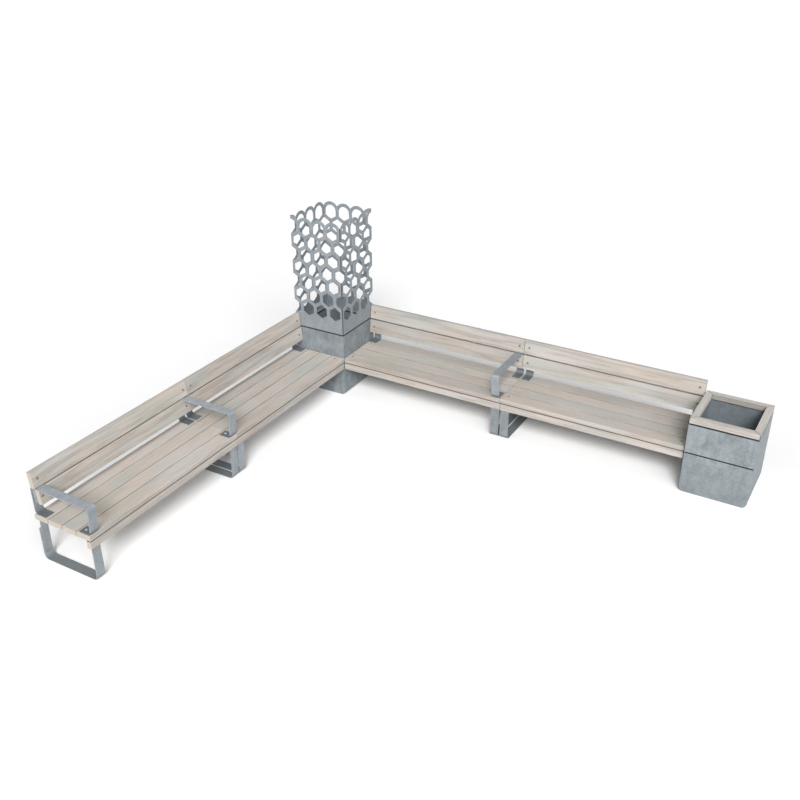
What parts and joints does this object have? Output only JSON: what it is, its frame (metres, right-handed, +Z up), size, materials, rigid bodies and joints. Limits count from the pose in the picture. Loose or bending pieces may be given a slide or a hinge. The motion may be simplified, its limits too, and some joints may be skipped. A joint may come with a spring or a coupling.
{
  "type": "modular bench",
  "caption": "L-shaped timber bench with backs and looped steel armrests and legs, between a corner planter with a hexagon screen and a square end planter.",
  "frame": {"origin": "centre of the corner planter's base, on the ground", "axes": "+X along the right wing towards the end planter, -Y along the left wing, +Z up"},
  "size_m": [4.823, 4.21, 1.9009],
  "materials": {
    "timber": "weathered, sawn and planed",
    "galvanised": "hot-dip galvanised, matt",
    "screen": "hot-dip galvanised sheet, cut pattern",
    "liner": "matt dark",
    "fixings": "dark, dull"
  },
  "bodies": {
    "root": {"left_outer_seat_1": "timber", "left_outer_seat_2": "timber", "left_outer_seat_3": "timber", "left_outer_seat_4": "timber", "left_outer_nosing": "timber", "left_outer_back_lower": "timber", "left_outer_back_upper": "timber", "left_inner_seat_1": "timber", "left_inner_seat_2": "timber", "left_inner_seat_3": "timber", "left_inner_seat_4": "timber", "left_inner_nosing": "timber", "left_inner_back_lower": "timber", "left_inner_back_upper": "timber", "right_inner_seat_1": "timber", "right_inner_seat_2": "timber", "right_inner_seat_3": "timber", "right_inner_seat_4": "timber", "right_inner_nosing": "timber", "right_inner_back_lower": "timber", "right_inner_back_upper": "timber", "right_outer_seat_1": "timber", "right_outer_seat_2": "timber", "right_outer_seat_3": "timber", "right_outer_seat_4": "timber", "right_outer_nosing": "timber", "right_outer_back_lower": "timber", "right_outer_back_upper": "timber", "left_end_leg_frame": "galvanised", "left_outer_leg_frame": "galvanised", "left_inner_leg_frame": "galvanised", "right_inner_leg_frame": "galvanised", "right_outer_leg_frame": "galvanised", "planter_bearers": "galvanised", "left_outer_near_bracket": "galvanised", "left_outer_far_bracket": "galvanised", "left_inner_near_bracket": "galvanised", "left_inner_far_bracket": "galvanised", "right_inner_near_bracket": "galvanised", "right_inner_far_bracket": "galvanised", "right_outer_near_bracket": "galvanised", "right_outer_far_bracket": "galvanised", "left_end_armrest": "galvanised", "left_middle_armrest": "galvanised", "right_middle_armrest": "galvanised", "corner_casing": "galvanised", "corner_liner": "liner", "screen_front_right": "screen", "screen_front_left": "screen", "screen_back_right": "screen", "screen_back_left": "screen", "end_casing": "galvanised", "end_liner": "liner", "end_rim_front": "timber", "end_rim_right": "timber", "end_rim_back": "timber", "end_rim_left": "timber", "plank_bolts": "fixings", "foot_bolts": "fixings", "screws": "fixings"}
  },
  "joints": []
}
